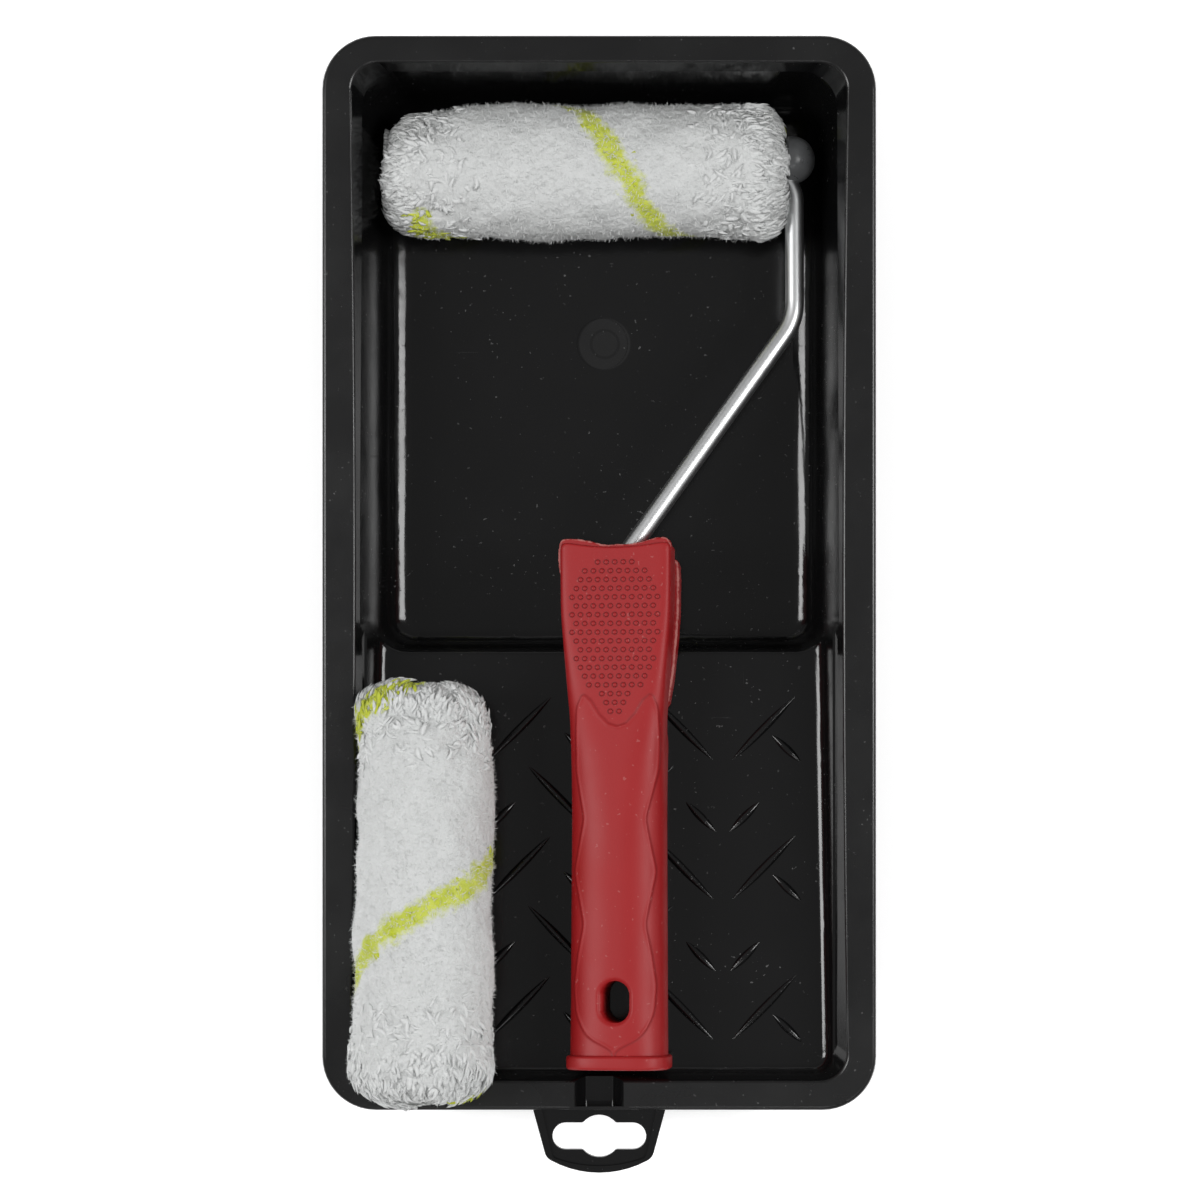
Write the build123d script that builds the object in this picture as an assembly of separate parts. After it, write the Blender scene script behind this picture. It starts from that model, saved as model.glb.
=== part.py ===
from build123d import *
import os
from math import atan, cos, degrees, radians, sin, tan

# Mini paint roller kit: a black moulded tray, a mini roller lying in it, and a spare sleeve on its ramp.
# Millimetres. +X across the tray, +Y towards the deep well, +Z up. The origin is the bottom centre
# of the box around the whole kit.

# ---- tray ----
rim_width = 150.0
rim_length = 291.0
tray_height = 42.0
tab_reach = 17.1
wall = 1.5
cut_over = 2.0                              # cuts run this far past the surface they open
rim_corner = 14.5
mouth_corner = 7.5
rim_y = tab_reach / 2                       # middle of the rim along Y
rim_back = rim_y + rim_length / 2           # outer edge at the well end
rim_front = rim_y - rim_length / 2          # outer edge at the tab end

mouth_half = 67.4                           # half width of the opening at its ends, at the rim
mouth_bow = 1.4                             # how far its long sides bow inward at mid length
mouth_back = rim_back - 7.2
mouth_front = rim_front + 7.9
flare_depth = 8.0
flare_half = 64.3                           # half width where the flare has died out
flare_front = 1.6
flare_back = 2.6

well_half = 65.7                            # half width of the well's walls, taken up to the rim
well_draft = 8.0
well_depth = 40.5
well_corner = 8.6
well_fillet = 7.0
well_back = mouth_back - 1.0
step_y = -12.8                              # top corner of the step
step_draft = 4.4

ramp_half = 64.8
ramp_draft = 8.5
ramp_front_draft = 5.7
ramp_front = mouth_front + 0.2
ramp_depth_step = 22.0
ramp_depth_front = 12.0
ramp_fillet = 3.0
ramp_corner = 5.0
ramp_overlap = 16.0                         # how far the ramp's space runs on into the well
step_round = 1.8
ramp_front_foot = ramp_front + ramp_depth_front * tan(radians(ramp_front_draft))
ramp_angle = degrees(atan((ramp_depth_step - ramp_depth_front) / (step_y - ramp_front_foot)))

flange = 1.6
lip_depth = 4.0
lip_round = 1.1
mouth_round = 0.7

gate_radius = 7.3
gate_y = 73.6
gate_depth = 0.4

channel_half_top = 6.65
channel_half_floor = 3.8
channel_depth = 5.0
channel_end_wall = 1.1
channel_wall = 1.4

tab_half_root = 18.2
tab_half_end = 14.4
tab_end_drop = 13.0
tab_top_drop = 2.4
tab_thick = 1.6
tab_border = 1.8
tab_border_rise = 0.9
euro_half = 12.7
euro_slot = 7.3
euro_bump = 11.5
euro_drop = 7.25

fin_x = 40.0
fin_thick = 1.8
fin_front = rim_front + 20
fin_cross = rim_front + 28

# ---- ramp ribs ----
rib_radius = 1.15
rib_sink = 0.25
rib_column = 33.7
rib_row = 19.1
rib_first_y = -44.1
rib_rows = 5
long_arm = ((1.6, 0), (21.1, 19.6))         # tail and tip of a rib, from the middle of its V
short_arm = ((1.5, 0), (10.6, 9.1))
edge_arm = ((55.8, 0), (47.0, 8.3))

# ---- roller ----
sleeve_y = 119.7                            # sleeve axis when the roller lies in the well
sleeve_z = 20.0
roller_tilt = 5.3                           # the handle end lies higher, on the ramp
wire_radius = 2.6
running_gap = 0.05
wire_tip = -57.0
wire_side = 53.6                            # straight run beside the sleeve
wire_side_end = 41.4
handle_x = 5.6
wire_diagonal_end = 108.6
wire_tang_end = 172.0
elbow_radius = 8.0
shoulder_radius = 15.0
neck_radius = 12.0

# ---- sleeves ----
core_length = 104.0
core_outer = 7.8
core_inner = 6.5
bearing_length = 10.0
bearing_inset = 2.5
pile_length = 110.4
pile_radius = 18.2
pile_round = 6.5
pile_mouth = 10.6
sleeve_centre = -4.5                        # middle of the fitted sleeve along the wire
clip_radius = 5.0
clip_thick = 0.9

cap_back = 51.3
cap_nose = 59.3
cap_radius = 6.6
cap_offset = 3.5

# ---- handle ----
handle_top = 103.2
handle_length = 143.0
handle_roll = 3.5
head_sag = 2.7
head_chord = 16.6                           # half chord of the head's concave top edge
flange_length = 3.7                         # end flange of the handle
flange_width = 28.0
flange_thick = 23.2
flange_corner = 8.0
dot_pitch_x = 2.33
dot_pitch_y = 2.38
dot_radius = 0.68
dot_rise = 0.4
dot_first = 6.5
edge_round = 0.9                            # on the end flange
handle_half_thick = 10.5
handle_round = 5.5
panel_rise = 0.3
panel_half_top = 14.6
stop_half = 16.5                            # finger stop: half width, underside and thickness
stop_bottom = -10.3
stop_thick = 3.6
stop_round = 0.7
panel_top = 11.6
hole_s = 123.6
hole_length = 10.0
hole_width = 7.0
dots_per_row = [5, 8, 9, 10, 11, 10, 11, 10, 11, 10, 9, 10, 9, 8, 7, 4, 3, 2]

# ---- spare sleeve ----
spare_x = -46.6
spare_tilt = 11.6
spare_y = -76.8
spare_z = 50.8


def rim_z(depth):
    """Height above the ground of a level that lies `depth` below the rim."""
    return tray_height - depth


def rounded_block(half, y_low, y_high, corner, z):
    return Pos(0, (y_low + y_high) / 2, z) * RectangleRounded(2 * half, y_high - y_low, corner)


def bowed_outline(half, y_low, y_high, corner, bow, z):
    """Rounded rectangle whose long sides bow inward by `bow` at mid length."""
    middle = (y_low + y_high) / 2
    right = ThreePointArc((half, y_low), (half - bow, middle), (half, y_high))
    left = ThreePointArc((-half, y_high), (bow - half, middle), (-half, y_low))
    ends = [Line((-half, y_low), (half, y_low)), Line((half, y_high), (-half, y_high))]
    face = make_face([right, left] + ends)
    return Pos(0, 0, z) * fillet(face.vertices(), corner)


def well_form(grow):
    """The well as a solid, `grow` larger all round: the cavity at 0, its outside at the wall."""
    low, high = rim_z(well_depth) - grow, tray_height + cut_over

    def section(z):
        inward = (tray_height - z) * tan(radians(well_draft))
        front = step_y + (z - rim_z(ramp_depth_step)) * -tan(radians(step_draft))
        return rounded_block(well_half - inward + grow, front - grow, well_back - inward + grow,
                             well_corner + grow, z)

    body = loft([section(low), section(high)], ruled=True)
    floor = body.faces().sort_by(Axis.Z)[0]
    return fillet(floor.edges(), well_fillet + grow * 0.9)


def ramp_plane(grow):
    """Plane of the ramp's surface, or of its underside; its local +Z points up."""
    lift = Rot(-ramp_angle, 0, 0)
    return Pos(0, step_y, rim_z(ramp_depth_step)) * lift * Pos(0, 0, -grow)


def ramp_form(grow):
    """The space above the ramp as a solid, `grow` larger all round."""
    low, high = rim_z(ramp_depth_step) - 8, tray_height + cut_over
    back = step_y + ramp_overlap

    def section(z):
        inward = (tray_height - z) * tan(radians(ramp_draft))
        front = ramp_front + (tray_height - z) * tan(radians(ramp_front_draft))
        return rounded_block(ramp_half - inward + grow, front - grow, back + grow, ramp_corner + grow, z)

    body = loft([section(low), section(high)], ruled=True)
    body = body - ramp_plane(grow) * Pos(0, -60, -25) * Box(200, 260, 50)
    floor = body.faces().sort_by(Axis.Z)[0]
    kept = [edge for edge in floor.edges() if edge.center().Y < back - 2]
    return fillet(kept, ramp_fillet + grow * 0.9)


def mouth_form(grow):
    """The flared opening below the rim, `grow` larger all round."""
    low = bowed_outline(flare_half + grow, mouth_front + flare_front - grow, mouth_back - flare_back + grow,
                        mouth_corner + grow, 0.01, rim_z(flare_depth))
    high = bowed_outline(mouth_half + grow, mouth_front - grow, mouth_back + grow,
                         mouth_corner + grow, mouth_bow, tray_height)
    return loft([low, high], ruled=True)


def rim_form():
    """Flat rim with its turned-down outer lip."""
    plate = Pos(0, rim_y, tray_height) * RectangleRounded(rim_width, rim_length, rim_corner)
    body = extrude(plate, -lip_depth)
    body = fillet(body.edges().group_by(Axis.Z)[-1], lip_round)
    hollow = Pos(0, rim_y, tray_height - flange) * RectangleRounded(
        rim_width - 2 * wall, rim_length - 2 * wall, rim_corner - wall)
    return body - extrude(hollow, -lip_depth)


def channel_form(grow, y_low, y_high, top_rise):
    """Trough across the rim at the shallow end, `grow` larger all round."""
    slope = (channel_half_top - channel_half_floor) / channel_depth
    top = channel_half_top + grow + slope * top_rise
    floor = channel_half_floor + grow * 0.8
    profile = make_face(Polyline((-top, tray_height + top_rise), (-floor, rim_z(channel_depth) - grow),
                                 (floor, rim_z(channel_depth) - grow), (top, tray_height + top_rise),
                                 close=True))
    profile = fillet(profile.vertices().group_by(Axis.Y)[0], 1.0 + grow)
    upright = Plane(origin=(0, y_high, 0), x_dir=(1, 0, 0), z_dir=(0, -1, 0))
    return extrude(upright * profile, y_high - y_low)


def hang_tab():
    """Tab beyond the shallow end, with a raised border and a hanging hole with a wide slot."""
    root = rim_front + 1.0
    end = rim_front - tab_end_drop
    tip = rim_front - tab_reach

    def outline(inset, start):
        half_root = tab_half_root - inset
        half_end = tab_half_end - inset
        sides = [Line((half_root, start), (half_end, end)), Line((-half_root, start), (-half_end, end))]
        arc = ThreePointArc((-half_end, end), (0, tip + inset), (half_end, end))
        face = make_face(sides + [arc, Line((-half_root, start), (half_root, start))])
        return fillet(face.vertices().group_by(Axis.Y)[0], 3.5 - inset)

    slot_y = rim_front - euro_drop
    hole = Pos(0, slot_y) * (SlotOverall(2 * euro_half, euro_slot) + Circle(euro_bump / 2))
    hole = fillet([v for v in hole.vertices() if abs(v.X) < 6], 0.9)
    level = rim_z(tab_top_drop)
    plate = extrude(Pos(0, 0, level - tab_thick) * outline(0, root), tab_thick)
    border = outline(0, root) - outline(tab_border, root + 3)
    border = extrude(Pos(0, 0, level - 0.2) * border, tab_border_rise + 0.2)
    return plate + border - extrude(Pos(0, 0, level - 5) * hole, 10)


def ramp_ribs():
    """Herringbone of raised ribs: long and short V shapes in three columns, and short edge ribs."""
    ribs = []

    def add(x, y, arm, mirror):
        (x0, y0), (x1, y1) = arm
        tail = (x + mirror * x0, y + y0)
        tip = (x + mirror * x1, y + y1)
        ribs.append(place_rib(tail, tip))

    for row in range(rib_rows):
        y = rib_first_y - row * rib_row
        even = row % 2 == 0
        for side in (-1, 1):
            add(0, y, short_arm if even else long_arm, side)
            for column in (-rib_column, rib_column):
                add(column, y, long_arm if even else short_arm, side)
            if even:
                add(0, y, edge_arm, side)
    return ribs


def place_rib(tail, tip):
    """Spindle from tail to tip, lying on the sloping ramp with its axis a little below the surface."""
    slope = tan(radians(ramp_angle))

    def on_ramp(point):
        x, y = point
        return Vector(x, y, rim_z(ramp_depth_step) + (step_y - y) * slope - rib_sink)

    start, end = on_ramp(tail), on_ramp(tip)
    along = end - start
    arch = ThreePointArc((0, 0), (along.length / 2, rib_radius), (along.length, 0))
    spindle = revolve(make_face([arch, Line((0, 0), (along.length, 0))]), Axis.X)
    frame = Plane(origin=start, x_dir=along, z_dir=along.cross(Vector(0, 0, 1)))
    return frame * spindle


def fins():
    """Stiffening fins under the ramp; they carry the shallow end on the ground."""
    top = rim_z(ramp_depth_front) + 4
    side = make_face(Polyline((fin_front + 4, 0), (step_y + 4, 0), (step_y + 4, top), (fin_front, top),
                              close=True))
    plate = extrude(Plane.YZ * side, fin_thick / 2, both=True)
    cross = Pos(0, fin_cross, top / 2) * Box(2 * fin_x, fin_thick, top)
    return [Pos(-fin_x, 0, 0) * plate, Pos(fin_x, 0, 0) * plate, cross]


def mouth_edges(tray):
    """Inner edge of the rim, all round the opening."""
    return [e for e in tray.edges() if abs(e.center().Z - tray_height) < 0.01
            and abs(e.center().X) < mouth_half + 0.5
            and mouth_front - 0.5 < e.center().Y < mouth_back + 0.5]


def step_edges(tray):
    """Edges where the ramp turns down into the well, above and below the wall."""
    return [e for e in tray.edges() if abs(e.center().Z - rim_z(ramp_depth_step)) < 2.5
            and step_y - 6 < e.center().Y < step_y + 14 and abs(e.center().X) < ramp_half - 1.8]


def make_tray():
    """The whole tray, one moulding: walls round the hollow, rim, channel, hang tab, fins and ribs."""
    outside = well_form(wall) + ramp_form(wall) + mouth_form(wall)
    outside = outside - Pos(0, rim_y, tray_height + 10) * Box(400, 400, 20)
    outside = outside + rim_form() + fins()
    outside = outside + channel_form(channel_wall, rim_front + 0.2, mouth_front + 3, 0)
    tray = outside + hang_tab()
    tray = tray - well_form(0) - ramp_form(0) - mouth_form(0)
    tray = fillet(mouth_edges(tray), mouth_round)
    tray = fillet(step_edges(tray), step_round)
    tray = tray - channel_form(0, rim_front + channel_end_wall, mouth_front + 6, cut_over)
    gate = Pos(0, gate_y, rim_z(well_depth) - gate_depth) * Cylinder(
        gate_radius, 5, align=(Align.CENTER, Align.CENTER, Align.MIN))
    tray = tray - gate
    return tray + ramp_ribs()


def in_roller(part):
    """From the roller's own frame (sleeve axis along X, handle towards -Y) to where it lies in the tray."""
    return Pos(0, sleeve_y, sleeve_z) * Rot(-roller_tilt, 0, 0) * part


def in_spare(part):
    """From a sleeve's own frame to where the spare lies, with one end on the rim."""
    return Pos(spare_x, spare_y, spare_z) * Rot(-spare_tilt, 0, 0) * Rot(0, 0, -90) * part


def turned(points):
    """Solid of revolution about X from (x, radius) corner points."""
    return revolve(make_face(Polyline(*points, close=True)), Axis.X)


def wire_path():
    corners = [(wire_tip, 0), (wire_side, 0), (wire_side, -wire_side_end),
               (handle_x, -wire_diagonal_end), (handle_x, -wire_tang_end)]
    return FilletPolyline(*corners, radius=[elbow_radius, shoulder_radius, neck_radius])


def wire_form(radius):
    start = Plane(origin=(wire_tip, 0, 0), z_dir=(1, 0, 0))
    return sweep(start * Circle(radius), path=wire_path())


def wire_frame():
    """Bent wire with a rounded tip; the tang's end is left square."""
    wire = wire_form(wire_radius)
    tip = wire.faces().sort_by(Axis.X)[0]
    return fillet(tip.edges(), 0.8)


def elbow_cap():
    """Domed cap over the outside of the elbow, notched for the wire."""
    back = cap_back
    dome = make_face([Line((back, 0), (back, cap_radius - 0.6)),
                      Line((back, cap_radius - 0.6), (back + 0.6, cap_radius)),
                      Line((back + 0.6, cap_radius), (back + 1.8, cap_radius)),
                      ThreePointArc((back + 1.8, cap_radius),
                                    (cap_nose - 1.9, cap_radius * 0.72), (cap_nose, 0)),
                      Line((cap_nose, 0), (back, 0))])
    dome = Pos(0, cap_offset, 0) * revolve(dome, Axis.X)
    return dome - wire_form(wire_radius + 0.02)


def tip_clip():
    """Push-on clip behind the far bearing: a dished disc gripping the wire."""
    inner = wire_radius + 0.02
    start = wire_tip + 1.4
    profile = [(start, inner), (start + clip_thick, inner), (start + clip_thick + 0.2, clip_radius),
               (start + 0.2, clip_radius)]
    return turned(profile)


def sleeve_core():
    half = core_length / 2
    return turned([(-half, core_inner), (half, core_inner), (half, core_outer), (-half, core_outer)])


def sleeve_bearing(side):
    """Bearing plug pressed into one end of the core, with a hub and a thin outer ring."""
    outer_end = core_length / 2 - bearing_inset
    inner_end = outer_end - bearing_length
    bore = wire_radius + running_gap
    ring = core_inner - 0.02
    corners = [(inner_end, bore), (outer_end, bore), (outer_end, bore + 1.3), (outer_end - 1.2, bore + 1.3),
               (outer_end - 1.2, ring - 1.1), (outer_end, ring - 1.1), (outer_end, ring), (inner_end, ring)]
    return turned([(side * x, radius) for x, radius in corners])


def sleeve_pile():
    """Outer shape of the plush cover: rounded at its ends, with flared mouths where the pile leans out."""
    half = pile_length / 2
    core_half = core_length / 2
    arc = pile_round
    right = [Line((0, core_outer), (core_half, core_outer)),
             Line((core_half, core_outer), (half, pile_mouth)),
             Line((half, pile_mouth), (half, pile_radius - arc)),
             ThreePointArc((half, pile_radius - arc),
                           (half - arc * (1 - cos(radians(45))), pile_radius - arc * (1 - sin(radians(45)))),
                           (half - arc, pile_radius)),
             Line((half - arc, pile_radius), (0, pile_radius)),
             Line((0, pile_radius), (0, core_outer))]
    half_solid = revolve(make_face(right), Axis.X)
    return half_solid + mirror(half_solid, about=Plane.YZ)


def facing_edges(points, tangents):
    """Two splines, one through the points and one through their mirror images."""
    left = [(-x, y) for x, y in points]
    flipped = [(-x, y) for x, y in tangents]
    return [Spline(*points, tangents=tangents), Spline(*left, tangents=flipped)]


def handle_form(grow):
    """Handle body from head to flange, `grow` larger all round, with rounded long edges."""
    end = flange_length - handle_length
    edge = [(15.3, 0), (15.2, -20), (14.3, -34), (13.2, -48), (12.8, -66), (12.95, -100), (13.1, end)]
    edge = [(x + grow, y) for x, y in edge]
    sides = facing_edges(edge, tangents=[(0, -1), (0, -1)])
    across = [Line((-edge[0][0], 0), (edge[0][0], 0)), Line((-edge[-1][0], end), (edge[-1][0], end))]
    half = handle_half_thick + grow
    body = extrude(Pos(0, 0, -half) * make_face(sides + across), 2 * half)
    long_edges = [e for e in body.edges() if e.length > handle_length / 2]
    return fillet(long_edges, handle_round + grow)


def grip_outline():
    """Wavy edge of the grip panel, from the dip below the thumb panel round to the panel's lower end."""
    dip, shoulder, tail = (0, -50.6), (9.2, -42.2), (0, -136.8)
    waves = [(10.7, -44.8), (10.9, -62.5), (8.1, -75.8), (10.9, -90.0), (8.1, -104.2), (10.9, -120.5)]
    top = facing_edges([dip, (5.0, -47.2), shoulder], tangents=[(1, 0), (1, 0.15)])
    sides = facing_edges([shoulder] + waves + [tail], tangents=[(1, -0.15), (-1, 0)])
    return make_face(top + sides)


def thumb_dots():
    dome_radius = (dot_radius ** 2 + dot_rise ** 2) / (2 * dot_rise)
    dots = []
    for row, count in enumerate(dots_per_row):
        y = -(dot_first + row * dot_pitch_y)
        for column in range(count):
            x = (column - (count - 1) / 2) * dot_pitch_x
            dots.append(Pos(x, y, panel_top + dot_rise - dome_radius) * Sphere(dome_radius))
    return dots


def thumb_panel():
    """Raised plate with the dots, its top edge concave like the head's."""
    top = panel_half_top
    edge = [(top, -0.9), (top, -20), (13.6, -34), (11.6, -46)]
    outline = make_face(facing_edges(edge, tangents=[(0, -1), (-0.2, -1)])
                        + [ThreePointArc((-top, -0.9), (0, -0.9 - head_sag), (top, -0.9)),
                           ThreePointArc((11.6, -46), (0, -57), (-11.6, -46))])
    outline = fillet(outline.vertices().group_by(Axis.Y)[-1], 2.2)
    plate = extrude(Pos(0, 0, panel_top - 2.4) * outline, 2.4)
    return fillet(plate.edges().group_by(Axis.Z)[-1], 0.5)


def finger_stop():
    """Wing plate behind the head, a little wider than it, that tapers into the body."""
    edge = [(stop_half, -6.5), (stop_half, -27), (15.2, -38), (12.2, -48)]
    outline = make_face(facing_edges(edge, tangents=[(0, -1), (-0.35, -1)])
                        + [Line((-stop_half, -6.5), (stop_half, -6.5)), Line((-12.2, -48), (12.2, -48))])
    outline = fillet(outline.vertices().group_by(Axis.Y)[-1], 3.5)
    plate = extrude(Pos(0, 0, stop_bottom) * outline, stop_thick)
    return fillet(plate.edges().group_by(Axis.Z)[0] + plate.edges().group_by(Axis.Z)[-1], stop_round)


def make_handle():
    """Whole handle: body, grip panel, thumb panel with dots, finger stop, end flange and hang hole."""
    body = handle_form(0)
    panel = handle_form(panel_rise) & extrude(Pos(0, 0, 2) * grip_outline(), 12)
    end = Pos(0, flange_length / 2 - handle_length, 0) * Box(flange_width, flange_length, flange_thick)
    end = fillet(end.edges().filter_by(Axis.Y), flange_corner)
    end = fillet(end.edges().group_by(Axis.Y)[0] + end.edges().group_by(Axis.Y)[-1], edge_round)
    arc_radius = (head_chord ** 2 + head_sag ** 2) / (2 * head_sag)
    body = body - Pos(0, arc_radius - head_sag, 0) * Cylinder(arc_radius, 60)
    body = body + panel + end + finger_stop() + thumb_panel()
    hole = Pos(0, -hole_s) * Rot(0, 0, 90) * SlotOverall(hole_length, hole_width)
    body = body - extrude(Pos(0, 0, -20) * hole, 40)
    return body + thumb_dots()


def build():
    """Every sub-part in its place, by node name."""
    at_fitted = Pos(sleeve_centre, 0, 0)
    handle = Pos(handle_x, -handle_top, 0) * Rot(0, -handle_roll, 0) * make_handle()
    handle = handle - wire_form(wire_radius + 0.01)
    return {
        "tray": make_tray(),
        "wire_frame": in_roller(wire_frame()),
        "handle": in_roller(handle),
        "elbow_cap": in_roller(elbow_cap()),
        "tip_clip": in_roller(tip_clip()),
        "sleeve_core": in_roller(at_fitted * sleeve_core()),
        "sleeve_near_bearing": in_roller(at_fitted * sleeve_bearing(1)),
        "sleeve_far_bearing": in_roller(at_fitted * sleeve_bearing(-1)),
        "sleeve_pile": in_roller(at_fitted * sleeve_pile()),
        "spare_core": in_spare(sleeve_core()),
        "spare_front_bearing": in_spare(sleeve_bearing(1)),
        "spare_rear_bearing": in_spare(sleeve_bearing(-1)),
        "spare_pile": in_spare(sleeve_pile()),
    }


os.makedirs("parts", exist_ok=True)
for node, part in build().items():
    export_step(part, f"parts/{node}.step")
    print(node, round(part.volume, 1), "solids", len(part.solids()), "valid", part.is_valid)
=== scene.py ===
"""Looks of the mini paint roller kit: tray, roller and spare sleeve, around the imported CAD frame."""
import math

import bpy
import numpy as np
from mathutils import Matrix, Vector, noise


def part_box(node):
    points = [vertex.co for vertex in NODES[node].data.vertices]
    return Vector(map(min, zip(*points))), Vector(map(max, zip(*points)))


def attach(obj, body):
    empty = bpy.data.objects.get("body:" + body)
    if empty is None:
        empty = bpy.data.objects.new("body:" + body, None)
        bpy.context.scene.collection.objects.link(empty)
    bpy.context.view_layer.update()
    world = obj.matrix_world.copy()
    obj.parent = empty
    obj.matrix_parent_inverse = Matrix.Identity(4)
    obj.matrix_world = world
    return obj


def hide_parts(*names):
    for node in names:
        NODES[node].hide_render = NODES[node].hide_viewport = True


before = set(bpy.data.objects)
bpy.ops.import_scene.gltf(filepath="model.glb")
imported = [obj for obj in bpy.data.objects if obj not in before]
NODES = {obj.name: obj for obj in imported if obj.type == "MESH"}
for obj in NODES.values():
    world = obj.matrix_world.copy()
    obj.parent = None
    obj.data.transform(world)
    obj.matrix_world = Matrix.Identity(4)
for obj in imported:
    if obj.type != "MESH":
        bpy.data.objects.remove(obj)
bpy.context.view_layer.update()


MM = 0.001
RIM_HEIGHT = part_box("tray")[1].z

# ---------------------------------------------------------------- camera
CAMERA_ABOVE_RIM = 0.900
FIELD_WIDTH = 0.3247                       # width that the camera sees at the rim's height
CAMERA_X, CAMERA_Y = 0.020, 0.0012         # where it stands, looking straight down
VIEW_CENTRE_X = 0.00024                    # middle of what it sees at that height
SENSOR = 36.0

camera_data = bpy.data.cameras.new("camera")
camera_data.sensor_width = SENSOR
camera_data.lens = SENSOR * CAMERA_ABOVE_RIM / FIELD_WIDTH
camera_data.shift_x = (VIEW_CENTRE_X - CAMERA_X) / FIELD_WIDTH
camera_data.clip_start = 0.05
camera_data.clip_end = 50
camera = bpy.data.objects.new("camera", camera_data)
camera.location = (CAMERA_X, CAMERA_Y, RIM_HEIGHT + CAMERA_ABOVE_RIM)
bpy.context.scene.collection.objects.link(camera)
bpy.context.scene.camera = camera
bpy.context.scene.view_settings.view_transform = "Standard"
bpy.context.scene.view_settings.look = "None"


# ---------------------------------------------------------------- node helper
class Look:
    """A Principled material with short calls for the nodes that feed it."""

    def __init__(self, name, **sockets):
        self.material = bpy.data.materials.new(name)
        self.material.use_nodes = True
        self.tree = self.material.node_tree
        self.bsdf = self.tree.nodes["Principled BSDF"]
        self.set(self.bsdf, sockets)

    def feed(self, socket, value):
        """Links another node's output to the socket, or sets the socket's own value."""
        if isinstance(value, bpy.types.NodeSocket):
            self.tree.links.new(value, socket)
        elif socket.type == "RGBA":
            socket.default_value = (*value, 1)
        else:
            socket.default_value = value

    def set(self, node, sockets):
        for name, value in sockets.items():
            self.feed(node.inputs[name.replace("_", " ")], value)

    def node(self, kind, settings=None, **sockets):
        node = self.tree.nodes.new("ShaderNode" + kind)
        for name, value in (settings or {}).items():
            setattr(node, name, value)
        self.set(node, sockets)
        return node

    def place(self):
        """Position on the piece at rest, in metres in the object's frame."""
        return self.node("TexCoord").outputs["Object"]

    def noise(self, scale, detail, rough, vector=None, stretch=None):
        """Cloud-like noise; stretch is a scale along each axis and a rotation."""
        vector = vector or self.place()
        if stretch:
            vector = self.node("Mapping", Vector=vector, Scale=stretch[0], Rotation=stretch[1]).outputs[0]
        return self.node("TexNoise", Vector=vector, Scale=scale, Detail=detail, Roughness=rough).outputs["Fac"]

    def ramp(self, fac, low, high, low_value=0.0, high_value=1.0):
        node = self.node("MapRange", {"clamp": True}, Value=fac, From_Min=low, From_Max=high,
                         To_Min=low_value, To_Max=high_value)
        return node.outputs["Result"]

    def math(self, operation, a, b=0.0):
        node = self.node("Math", {"operation": operation})
        for socket, value in zip(node.inputs, (a, b)):
            self.feed(socket, value)
        return node.outputs[0]

    def mix(self, fac, a, b):
        node = self.node("Mix", {"data_type": "RGBA"})
        for index, value in ((0, fac), (6, a), (7, b)):    # the factor and the two colour sockets
            self.feed(node.inputs[index], value)
        return node.outputs[2]

    def bump(self, height, distance, strength=1.0, normal=None):
        node = self.node("Bump", Height=height, Distance=distance, Strength=strength)
        if normal is not None:
            self.feed(node.inputs["Normal"], normal)
        return node.outputs[0]

    def drive(self, **sockets):
        self.set(self.bsdf, sockets)
        return self.material


def dress(node, material):
    slots = NODES[node].data.materials
    slots.clear()
    slots.append(material)


# ---------------------------------------------------------------- materials
GATE_X, GATE_Y = 0.7 * MM, 73.6 * MM       # middle of the moulding gate's disc in the well floor


class TrayLook(Look):
    def gate(self, place):
        """1 on the moulding gate's disc in the well floor, with a fainter ring inside it."""
        split = self.node("SeparateXYZ", Vector=place)
        across = self.math("SUBTRACT", split.outputs["X"], GATE_X)
        along = self.math("SUBTRACT", split.outputs["Y"], GATE_Y)
        square = self.math("ADD", self.math("MULTIPLY", across, across), self.math("MULTIPLY", along, along))
        distance = self.math("SQRT", square)
        on_floor = self.ramp(split.outputs["Z"], 5 * MM, 6 * MM, 1.0, 0.0)
        disc = self.ramp(distance, 7.1 * MM, 7.5 * MM, 1.0, 0.0)
        ring = self.math("MULTIPLY", self.ramp(distance, 3.4 * MM, 3.7 * MM),
                         self.ramp(distance, 4.1 * MM, 4.4 * MM, 1.0, 0.0))
        return self.math("MULTIPLY", on_floor, self.math("SUBTRACT", disc, self.math("MULTIPLY", ring, 0.35)))


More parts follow.
